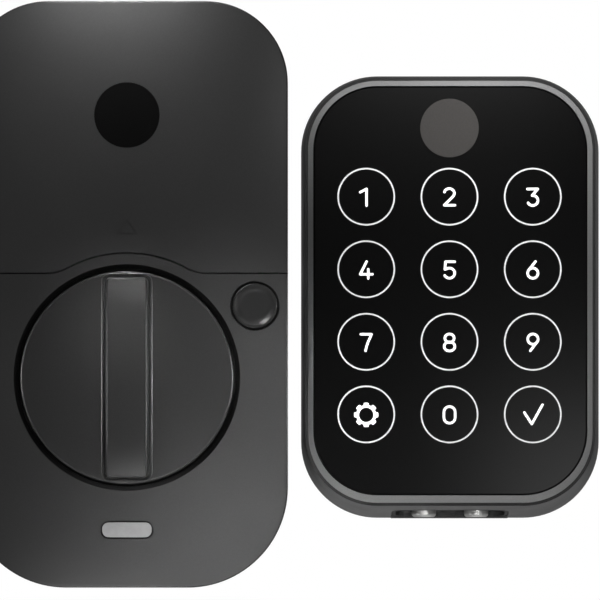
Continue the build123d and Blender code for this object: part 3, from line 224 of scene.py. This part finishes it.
def cell_sleeve(name, sleeve, band, band_is_up):
    """Printed sleeve of a dry cell: a metallic band towards its plus end, and bare metal at both ends."""
    minus_end, band_start, plus_end = 0.018, 0.7, 0.955
    scuff_mm, smooth, rough = 1.5, 0.26, 0.4
    bare, metallic = grey(0.62), 0.55
    stops = [(0.0, bare), (minus_end, sleeve), (band_start, band), (plus_end, bare)]
    if not band_is_up:
        stops = [(0.0, bare), (1 - plus_end, band), (1 - band_start, sleeve), (1 - minus_end, bare)]
    made, tree, shader = new_material(name)
    along = axes_of(tree, "Generated")["Z"]
    tree.links.new(ramp(tree, along, stops, "CONSTANT"), shader.inputs["Base Color"])
    scuffs = noise(tree, coordinates(tree), scuff_mm, detail=4.0)
    tree.links.new(spread(tree, scuffs, smooth, rough), shader.inputs["Roughness"])
    shader.inputs["Metallic"].default_value = metallic
    return made


def black_glass(name, colour, roughness):
    """Black cover glass with a trace of wiping marks in its gloss. Only its coat mirrors."""
    mark_mm, tint, play, coat_ior = 14.0, 0.15, 0.1, 1.3
    made, tree, shader = new_material(name)
    marks = noise(tree, coordinates(tree), mark_mm, detail=4.0)
    tree.links.new(mottled(tree, marks, colour, tint), shader.inputs["Base Color"])
    tree.links.new(spread(tree, marks, roughness * (1 - play), roughness * (1 + play)),
                   shader.inputs["Roughness"])
    shader.inputs["Specular IOR Level"].default_value = 0.0
    shader.inputs["Coat Weight"].default_value = 1.0
    shader.inputs["Coat Roughness"].default_value = roughness
    shader.inputs["Coat IOR"].default_value = coat_ior
    return made


def resin_with_painted_shade(name, clear, mask, edge):
    """Milky resin, with black painted shade on everything that lies behind an edge."""
    cloud_mm, tint, smooth, rough = 1.5, 0.05, 0.3, 0.4
    made, tree, shader = new_material(name)
    behind = compute(tree, "GREATER_THAN", axes_of(tree, "Object")["Y"], edge)
    cloud = noise(tree, coordinates(tree), cloud_mm, detail=3.0)
    tree.links.new(mix_colours(tree, behind, mottled(tree, cloud, clear, tint), mask),
                   shader.inputs["Base Color"])
    tree.links.new(spread(tree, cloud, smooth, rough), shader.inputs["Roughness"])
    return made


def blend_paint(made, value, within, other):
    """The base colour goes over to another one as a value crosses a stretch."""
    tree = made.node_tree
    socket = tree.nodes["Principled BSDF"].inputs["Base Color"]
    share = eased(tree, value, within, (0.0, 1.0))
    tree.links.new(mix_colours(tree, share, socket.links[0].from_socket, other), socket)


def facing_light_and_shade(made, axis, middle, within, other):
    """Painted light and shade: another colour on the faces whose direction along an axis lies further from a
    middle value.
    """
    tree = made.node_tree
    direction = axes_of(tree, "Normal")[axis]
    distance = compute(tree, "ABSOLUTE", compute(tree, "SUBTRACT", direction, middle))
    blend_paint(made, distance, within, other)


def painted_flank_shade(made, within, other):
    """Painted shade: another colour on the faces that turn to either side or down."""
    tree = made.node_tree
    direction = axes_of(tree, "Normal")
    aside = compute(tree, "ABSOLUTE", direction["X"])
    down = compute(tree, "MULTIPLY", direction["Z"], -1.0)
    blend_paint(made, compute(tree, "MAXIMUM", aside, down), within, other)


SHADE_SETBACK = 0.25
CELL_COLOURS = grey(0.03), (0.5, 0.29, 0.12)
window_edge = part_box("light_pipe")[0].y + SHADE_SETBACK * MM

shell_paint = surface("shell_paint", grey(0.034), roughness=0.46, grain_mm=0.3, specular=0.4)
# Painted shade: the shell's faces that turn to the sides or down, such as its edge rounds, go near black.
painted_flank_shade(shell_paint, within=(0.15, 0.6), other=grey(0.003))
thumbturn_paint = surface("thumbturn_paint", grey(0.03), roughness=0.42, grain_mm=0.3, specular=0.3)
button_paint = surface("button_paint", grey(0.013), roughness=0.38, grain_mm=0.3, specular=0.4)
badge_inlay = surface("badge_inlay", grey(0.002), roughness=0.5, grain_mm=0.5, specular=0.1, bump=0.05)
housing_paint = surface("housing_paint", grey(0.11), roughness=0.5, grain_mm=0.3, specular=0.2)
# Painted light and shade: the housing's underside keeps the lighter grey, as if lit from below, and its other
# faces go darker.
facing_light_and_shade(housing_paint, "Z", middle=-1.0, within=(0.25, 0.65), other=grey(0.022))
bezel_paint = surface("bezel_paint", grey(0.24), roughness=0.4, grain_mm=0.25, metallic=0.2, specular=0.08)
# Painted shade: the bezel's walls and flat faces, such as those in the gap at the glass, go near black; its
# sloped faces keep the grey.
facing_light_and_shade(bezel_paint, "Y", middle=-0.68, within=(0.15, 0.25), other=grey(0.002))
panel_glass = black_glass("panel_glass", grey(0.001), roughness=0.2)
frame_plastic = surface("frame_plastic", grey(0.07), roughness=0.55, grain_mm=0.5, bump=0.2)
contact_plastic = surface("contact_plastic", grey(0.006), roughness=0.6, grain_mm=0.4, bump=0.2)
zinc_steel = surface("zinc_steel", (0.56, 0.57, 0.58), roughness=0.34, grain_mm=0.5, tint=0.12, metallic=1.0,
                     stretch=(1, 1, 0.12))
gear_brass = surface("gear_brass", (0.72, 0.55, 0.26), roughness=0.3, grain_mm=0.4, metallic=1.0,
                     stretch=(1, 0.2, 1))
bush_bronze = surface("bush_bronze", (0.55, 0.36, 0.19), roughness=0.42, grain_mm=0.2, tint=0.2, metallic=1.0)
motor_can = surface("motor_can", grey(0.6), roughness=0.28, grain_mm=0.4, metallic=1.0, stretch=(1, 0.1, 1))
nickel = surface("nickel", (0.74, 0.73, 0.71), roughness=0.22, grain_mm=0.4, tint=0.05, metallic=1.0,
                 bump=0.05)
# Painted shade: the nine-volt studs get a darker copy of the nickel, so they read as shaded in the recess.
shaded_stud_nickel = surface("shaded_stud_nickel", (0.5, 0.5, 0.49), roughness=0.42, grain_mm=0.4, tint=0.05, metallic=1.0,
                      bump=0.05)
chip_epoxy = surface("chip_epoxy", grey(0.02), roughness=0.6, grain_mm=0.25, bump=0.25)
socket_nylon = surface("socket_nylon", (0.62, 0.6, 0.55), roughness=0.5, grain_mm=0.5)
lamp_resin = surface("lamp_resin", (0.78, 0.74, 0.6), roughness=0.3, grain_mm=0.4)
# Painted shade: the light pipe's flange behind its front face goes near black, where it shows in the gap
# round the window.
window_resin = resin_with_painted_shade("window_resin", clear=grey(0.3), mask=grey(0.004), edge=window_edge)
guide_resin = surface("guide_resin", grey(0.7), roughness=0.25, grain_mm=1.0, tint=0.04)
gasket_foam = surface("gasket_foam", grey(0.018), roughness=0.85, grain_mm=0.5, tint=0.25, bump=0.5,
                      depth_mm=0.15)
module_case = surface("module_case", grey(0.05), roughness=0.5, grain_mm=0.4, bump=0.2)
green_board = circuit("green_board", mask=(0.012, 0.075, 0.03), track=(0.03, 0.14, 0.05))
black_board = circuit("black_board", mask=(0.01, 0.011, 0.012), track=(0.03, 0.032, 0.035))
sleeve_up = cell_sleeve("sleeve_up", *CELL_COLOURS, band_is_up=True)
sleeve_down = cell_sleeve("sleeve_down", *CELL_COLOURS, band_is_up=False)
# Painted glow: the rings and legends carry a set emission, which makes them bright apart from the lamps.
ring_print = surface("ring_print", grey(0.62), roughness=0.5, grain_mm=0.4, tint=0.03, bump=0.05,
                     emission=0.27)
legend_print = surface("legend_print", grey(0.8), roughness=0.5, grain_mm=0.4, tint=0.03, bump=0.05,
                       emission=0.75)
badge_print = surface("badge_print", (0.046, 0.043, 0.041), roughness=0.5, grain_mm=0.4, specular=0.2,
                      bump=0.05)

dressed = {
    shell_paint: ["battery_cover", "lower_housing"],
    thumbturn_paint: ["thumbturn_disc", "thumbturn_grip"],
    button_paint: ["privacy_button"],
    badge_inlay: ["cover_badge"],
    housing_paint: ["keypad_housing"],
    bezel_paint: ["keypad_bezel"],
    panel_glass: ["glass_panel"],
    frame_plastic: ["chassis", "battery_tray", "gearbox_cover", "keypad_back_plate"],
    contact_plastic: ["contact_block"],
    zinc_steel: ["mounting_plate", "motor_shaft", "first_gear_axle", "second_gear_axle", "drive_shaft",
                 "retaining_ring", "tailpiece", "keypad_posts", "mounting_screws", "tray_screws",
                 "housing_screws", "gearbox_screws", "front_board_screws", "back_plate_screws"],
    gear_brass: ["motor_pinion", "first_gear", "second_gear", "output_gear"],
    bush_bronze: ["rear_bush", "front_bush"],
    motor_can: ["motor"],
    nickel: ["plus_contacts", "minus_contacts", "contact_leads"],
    shaded_stud_nickel: ["nine_volt_contacts"],
    chip_epoxy: ["main_board_parts", "tact_switch", "switch_plunger", "sounder"],
    socket_nylon: ["interior_cable_socket", "keypad_cable_socket"],
    lamp_resin: ["status_led", "backlight_leds"],
    window_resin: ["light_pipe"],
    guide_resin: ["light_guide", "touch_sensor"],
    gasket_foam: ["keypad_gasket"],
    module_case: ["smart_module"],
    green_board: ["main_board", "front_board"],
    black_board: ["keypad_board"],
    sleeve_up: ["aa_cell_1", "aa_cell_3"],
    sleeve_down: ["aa_cell_2", "aa_cell_4"],
}
for paint, members in dressed.items():
    for member in members:
        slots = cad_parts[member].data.materials
        slots.clear()
        slots.append(paint)


# Meshes

AXIS_Y = 1
AXIS_Z = 2


def new_object(name, data):
    """Object in the scene."""
    made = bpy.data.objects.new(name, data)
    bpy.context.scene.collection.objects.link(made)
    return made


def new_mesh(name, bm):
    """Mesh with the faces that were drawn."""
    mesh = bpy.data.meshes.new(name)
    bm.to_mesh(mesh)
    bm.free()
    return mesh


def add_piece(name, bm, paint):
    """Closed mesh that rides on the lock's body."""
    bmesh.ops.recalc_face_normals(bm, faces=bm.faces)
    mesh = new_mesh(name, bm)
    mesh.materials.append(paint)
    piece = new_object(name, mesh)
    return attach(piece, ROOT)


def thicken(bm, axis, depth_mm):
    """Flat faces made into a closed plate, towards the low end of an axis."""
    grown = bmesh.ops.extrude_face_region(bm, geom=bm.faces[:])
    for item in grown["geom"]:
        if isinstance(item, bmesh.types.BMVert):
            item.co[axis] -= depth_mm * MM


def arc(x, z, radius_x, radius_z, start, end, steps=24):
    """Points along part of an ellipse, between two angles in degrees."""
    angles = [math.radians(start + (end - start) * step / steps) for step in range(steps + 1)]
    return [(x + radius_x * math.cos(angle), z + radius_z * math.sin(angle)) for angle in angles]


# Printed signs on the glass. Lengths are in millimetres.

PRINT_THICKNESS = 0.03
MERGE_DISTANCE = 1e-4
STROKE = 0.6
FAR_AWAY = 1e3
GRID_STEP = 0.1
SIGN_REACH = 3.6
SIGN_DROP = 0.12
KEY_ROWS = 4
KEY_COLUMNS = 3
KEY_PITCH_X = 20.2
KEY_PITCH_Z = 17.6
KEY_SHIFT_X = -0.2
KEY_SHIFT_Z = 0.15
RING_RADIUS = 7.0
RING_LINE = 0.38
BADGE_RADIUS = 7.1
BADGE_EDGE = 0.05
BADGE_DROP = 12.7

lamp_low, lamp_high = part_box("backlight_leds")
key_centre = (lamp_low + lamp_high) / 2 + Vector((KEY_SHIFT_X, 0, KEY_SHIFT_Z)) * MM
print_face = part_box("glass_panel")[0].y


def lathe(name, profile, centre, paint, steps=96):
    """Ring or disc on the glass from a closed profile of (radius, height) points."""
    bm = bmesh.new()
    rows = []
    for step in range(steps):
        turn = 2 * math.pi * step / steps
        rows.append([bm.verts.new((centre.x + radius * MM * math.cos(turn), print_face - height * MM,
                                   centre.z + radius * MM * math.sin(turn)))
                     for radius, height in profile])
    for row, after in zip(rows, rows[1:] + rows[:1]):
        for i in range(len(profile)):
            j = (i + 1) % len(profile)
            bm.faces.new((row[i], row[j], after[j], after[i]))
    bmesh.ops.remove_doubles(bm, verts=bm.verts, dist=MERGE_DISTANCE * MM)
    return add_piece(name, bm, paint)


def strokes_field(strokes):
    """Function that is negative within half a stroke's width of any of the lines."""
    def field(x, z):
        nearest = np.full(x.shape, FAR_AWAY)
        for line in strokes:
            for (x0, z0), (x1, z1) in zip(line, line[1:]):
                dx, dz = x1 - x0, z1 - z0
                along = np.clip(((x - x0) * dx + (z - z0) * dz) / (dx * dx + dz * dz), 0, 1)
                nearest = np.minimum(nearest, np.hypot(x - x0 - along * dx, z - z0 - along * dz))
        return nearest - STROKE / 2
    return field


def gear_field(x, z):
    """Values that are negative inside a gear wheel with eight teeth and a round hole."""
    teeth, root, tip, hole, sharpness, widening = 8, 2.42, 2.95, 1.75, 3.5, 0.3
    distance = np.hypot(x, z)
    wave = np.cos(teeth * np.arctan2(x, z)) + widening
    outer = root + (tip - root) * np.clip(0.5 + sharpness * wave / 2, 0, 1)
    return np.maximum(distance - outer, hole - distance)


def sign(name, field, centre, paint):
    """Flat sign where a field is negative, cut out of a square grid."""
    count = int(2 * SIGN_REACH / GRID_STEP)
    places = np.linspace(-SIGN_REACH, SIGN_REACH, count + 1)
    values = field(*np.meshgrid(places, places, indexing="ij"))
    bm = bmesh.new()
    known = {}

    def vertex(key, x, z):
        if key not in known:
            known[key] = bm.verts.new((centre.x + x * MM, print_face, centre.z + z * MM))
        return known[key]

    for i in range(count):
        for j in range(count):
            corners = [(i, j), (i + 1, j), (i + 1, j + 1), (i, j + 1)]
            outline = []
            for one, two in zip(corners, corners[1:] + corners[:1]):
                v1, v2 = values[one], values[two]
                if v1 < 0:
                    outline.append(vertex(one, places[one[0]], places[one[1]]))
                if (v1 < 0) != (v2 < 0):
                    share = v1 / (v1 - v2)
                    x = places[one[0]] + share * (places[two[0]] - places[one[0]])
                    z = places[one[1]] + share * (places[two[1]] - places[one[1]])
                    outline.append(vertex(tuple(sorted((one, two))), x, z))
            if len(outline) > 2:
                bm.faces.new(outline)
    thicken(bm, AXIS_Y, PRINT_THICKNESS)
    return add_piece(name, bm, paint)


key_names = ["1", "2", "3", "4", "5", "6", "7", "8", "9", "gear", "0", "check"]
sign_lines = {
    "1": [[(-1.45, 1.2), (0.08, 1.98), (0.08, -2.05)]],
    "2": [arc(-0.05, 0.95, 1.22, 1.14, 165, -38) + [(-1.25, -1.95), (1.3, -1.95)]],
    "3": [[(-1.3, 1.98), (1.2, 1.98), (-0.15, 0.42)] + arc(-0.02, -0.8, 1.27, 1.22, 82, -152)],
    "4": [[(0.08, 1.98), (-1.45, -1.1), (1.5, -1.1)], [(0.5, 0.1), (0.5, -2.1)]],
    "5": [[(1.25, 1.95), (-0.95, 1.95), (-1.12, 0.12)] + arc(-0.02, -0.82, 1.28, 1.22, 125, -152)],
    "6": [[(0.65, 2.0), (-0.98, -0.08)], arc(0, -0.83, 1.26, 1.24, 0, 360)],
    "7": [[(-1.3, 1.95), (1.3, 1.95), (0.55, 0.3), (0.1, -0.9), (-0.15, -2.05)]],
    "8": [arc(0, 1.0, 1.12, 1.02, 0, 360), arc(0, -1.0, 1.3, 1.1, 0, 360)],
    "9": [[(-0.6, -2.05), (1.02, 0.12)], arc(0.03, 0.78, 1.26, 1.24, 0, 360)],
    "0": [arc(0, 0.65, 1.36, 1.36, 0, 180) + arc(0, -0.65, 1.36, 1.36, 180, 360) + [(1.36, 0.65)]],
    "check": [[(-2.05, 0.58), (-0.25, -2.2), (2.35, 2.45)]],
}
sign_fields = {key: strokes_field(lines) for key, lines in sign_lines.items()}
sign_fields["gear"] = gear_field

ring_inside = RING_RADIUS - RING_LINE
ring_profile = [(ring_inside, 0), (ring_inside, PRINT_THICKNESS), (RING_RADIUS, PRINT_THICKNESS),
                (RING_RADIUS, 0)]
for index, key in enumerate(key_names):
    row, column = divmod(index, KEY_COLUMNS)
    across = (column - (KEY_COLUMNS - 1) / 2) * KEY_PITCH_X
    up = ((KEY_ROWS - 1) / 2 - row) * KEY_PITCH_Z
    centre = key_centre + Vector((across, 0, up)) * MM
    lathe(f"key_ring_{key}", ring_profile, centre, ring_print)
    sign(f"key_sign_{key}", sign_fields[key], centre - Vector((0, 0, SIGN_DROP * MM)), legend_print)

badge_centre = Vector((key_centre.x, print_face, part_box("keypad_housing")[1].z - BADGE_DROP * MM))
badge_profile = [(0, 0), (0, PRINT_THICKNESS), (BADGE_RADIUS - BADGE_EDGE, PRINT_THICKNESS),
                 (BADGE_RADIUS, 0)]
lathe("keypad_badge", badge_profile, badge_centre, badge_print)


# Black sheet behind the contact recess, on the underside that leans back to the door: painted shade over the
# housing's sill, where the recess looks open. Lengths are in millimetres.

SHADE_SHEET_THICKNESS = 0.12
RECESS_HALF = 14.2
RECESS_BACK = 2.2
RECESS_CORNER = 3.2
CHIN_RISE = 3.05


def recess_shade_sheet(name, paint):
    """Thin plate of painted shade from the recess to the keypad's back edge, with the recess's two round
    corners.
    """
    low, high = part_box("keypad_housing")
    lean = CHIN_RISE * MM / (high.y - low.y)
    edge = -high.y / MM
    flat = RECESS_HALF - RECESS_CORNER
    corner_depth = RECESS_BACK + RECESS_CORNER
    right = arc(flat, corner_depth, RECESS_CORNER, RECESS_CORNER, 0, -90, steps=12)
    left = [(-x, depth) for x, depth in reversed(right)]
    outline = [(-RECESS_HALF, edge), (RECESS_HALF, edge)] + right + left
    bm = bmesh.new()
    bm.faces.new([bm.verts.new((key_centre.x + x * MM, -depth * MM, low.z + (depth - edge) * MM * lean))
                  for x, depth in outline])
    thicken(bm, AXIS_Z, SHADE_SHEET_THICKNESS)
    return add_piece(name, bm, paint)


recess_shade_sheet("recess_shade_sheet", contact_plastic)


# Floor, surroundings, lamps and camera. Lengths are in metres.

FLOOR_HEIGHT = -0.25
FLOOR_HALF = 8.0
FLOOR_PAINT = 0.82
FLOOR_ROUGHNESS = 0.8
FLOOR_SPECULAR = 0.1
FLOOR_GLOW = 0.9
FLOOR_MIRROR = 0.35
AMBIENT = 0.42
AMBIENT_SIDE = 0.06
FLAG_WITHIN = (0.3, 0.9)
MIRROR_FRONT = 0.01
MIRROR_BACK = 0.35
MIRROR_WITHIN = (0.6, 1.0)


def seen_backdrop(tree, mirror_level):
    """Share of rays that see a backdrop, and its strength: white to the camera, grey in mirrors and glass."""
    rays = add(tree, "ShaderNodeLightPath").outputs
    bounced = compute(tree, "MAXIMUM", rays["Is Glossy Ray"], rays["Is Transmission Ray"])
    share = compute(tree, "MAXIMUM", rays["Is Camera Ray"], bounced)
    strength = compute(tree, "MAXIMUM", rays["Is Camera Ray"], mirror_level)
    return share, strength


def make_floor():
    """Pale floor below the lock. It keeps a soft shadow and looks white to the camera."""
    bm = bmesh.new()
    bmesh.ops.create_grid(bm, x_segments=2, y_segments=2, size=FLOOR_HALF)
    mesh = new_mesh("floor", bm)
    floor = new_object("floor", mesh)
    floor.location.z = FLOOR_HEIGHT
    made, tree, shader = new_material("floor_paint")
    shader.inputs["Base Color"].default_value = (*grey(FLOOR_PAINT), 1)
    shader.inputs["Roughness"].default_value = FLOOR_ROUGHNESS
    shader.inputs["Specular IOR Level"].default_value = FLOOR_SPECULAR
    share, strength = seen_backdrop(tree, FLOOR_MIRROR)
    glow = add(tree, "ShaderNodeEmission")
    glow.inputs["Color"].default_value = WHITE
    tree.links.new(strength, glow.inputs["Strength"])
    pale = mix_shaders(tree, FLOOR_GLOW, shader.outputs["BSDF"], glow.outputs["Emission"])
    tree.links.new(mix_shaders(tree, share, shader.outputs["BSDF"], pale),
                   tree.nodes["Material Output"].inputs["Surface"])
    mesh.materials.append(made)


def make_world():
    """White surroundings with dark flags at both sides. Mirrors see them pale only behind the lock."""
    world = bpy.data.worlds.new("studio")
    world.use_nodes = True
    bpy.context.scene.world = world
    tree = world.node_tree
    direction = axes_of(tree, "Generated")
    aside = compute(tree, "ABSOLUTE", direction["X"])
    plain = tree.nodes["Background"]
    plain.inputs["Color"].default_value = WHITE
    tree.links.new(eased(tree, aside, FLAG_WITHIN, (AMBIENT, AMBIENT_SIDE)), plain.inputs["Strength"])
    mirrored = eased(tree, direction["Y"], MIRROR_WITHIN, (MIRROR_FRONT, MIRROR_BACK))
    share, strength = seen_backdrop(tree, mirrored)
    backdrop = add(tree, "ShaderNodeBackground")
    backdrop.inputs["Color"].default_value = WHITE
    tree.links.new(strength, backdrop.inputs["Strength"])
    tree.links.new(mix_shaders(tree, share, plain.outputs["Background"], backdrop.outputs["Background"]),
                   tree.nodes["World Output"].inputs["Surface"])


def area_light(name, place, target, size, spread_angle, power):
    """Soft square lamp at a place, pointing at a target, in metres, degrees and watts."""
    lamp = bpy.data.lights.new(name, "AREA")
    lamp.shape = "SQUARE"
    lamp.size = size
    lamp.spread = math.radians(spread_angle)
    lamp.energy = power
    holder = new_object(name, lamp)
    holder.location = place
    holder.rotation_euler = (Vector(target) - Vector(place)).to_track_quat("-Z", "Y").to_euler()
    holder.visible_camera = False


def make_camera():
    """Long lens straight in front, framed as in the photograph."""
    lens_mm, sensor_mm, furthest = 1600.0, 36.0, 100.0
    frame_width = 0.14544
    middle_x, plane_y, middle_z = 0.04194, -0.0245, 0.01879
    camera = bpy.data.cameras.new("camera")
    camera.lens = lens_mm
    camera.sensor_width = sensor_mm
    camera.clip_end = furthest
    holder = new_object("camera", camera)
    holder.location = (middle_x, plane_y - frame_width * lens_mm / sensor_mm, middle_z)
    holder.rotation_euler = (math.pi / 2, 0, 0)
    bpy.context.scene.camera = holder


# Each lamp's name, place, target, size, spread in degrees and power in watts
LAMPS = [
    ("lamp_top", (-0.003, -0.052, 0.101), (-0.003, -0.025, 0.072), 0.034, 180, 0.02),
    ("lamp_edge", (0.0, -0.03, 0.25), (0.0, -0.027, 0.0912), 0.02, 24, 0.009),
    ("lamp_below", (-0.006, -0.05, -0.066), (-0.006, -0.028, -0.04), 0.03, 180, 0.0115),
    ("lamp_front", (0.03, -0.19, -0.1), (0.03, -0.028, -0.034), 0.05, 27, 0.0094),
    ("lamp_grip", (0.0, -0.25, 0.085), (0.0, -0.035, 0.014), 0.02, 9, 0.0007),
    ("lamp_rim_left", (-0.2, -0.054, 0.0), (-0.006, -0.033, 0.0), 0.03, 18, 0.0042),
    ("lamp_rim_right", (0.2, -0.054, 0.0), (0.006, -0.033, 0.0), 0.03, 18, 0.0054),
    ("lamp_button", (-0.04, -0.12, 0.115), (0.034, -0.028, 0.01), 0.02, 10, 0.0014),
    ("lamp_key_top", (0.084, -0.06, 0.1), (0.084, -0.02, 0.06), 0.05, 90, 0.017),
    ("lamp_key_chin", (0.092, -0.012, -0.085), (0.092, -0.012, -0.03), 0.06, 120, 0.0036),
    ("lamp_key_left", (0.03, -0.13, 0.16), (0.0475, -0.0205, 0.06), 0.02, 9, 0.0007),
    ("lamp_key_right", (0.22, -0.08, 0.12), (0.1125, -0.0205, 0.058), 0.03, 22, 0.0026),
    ("lamp_key_front", (0.16, -0.25, -0.08), (0.09, -0.021, 0.0), 0.06, 24, 0.007),
    ("lamp_glass_low", (0.13, -0.35, -0.05), (0.11, -0.021, -0.03), 0.07, 40, 0.003),
    ("lamp_glass_top", (0.08, -0.35, 0.11), (0.078, -0.021, 0.07), 0.06, 40, 0.0018),
]
make_floor()
make_world()
for lamp_settings in LAMPS:
    area_light(*lamp_settings)
make_camera()
bpy.context.scene.view_settings.view_transform = "Standard"
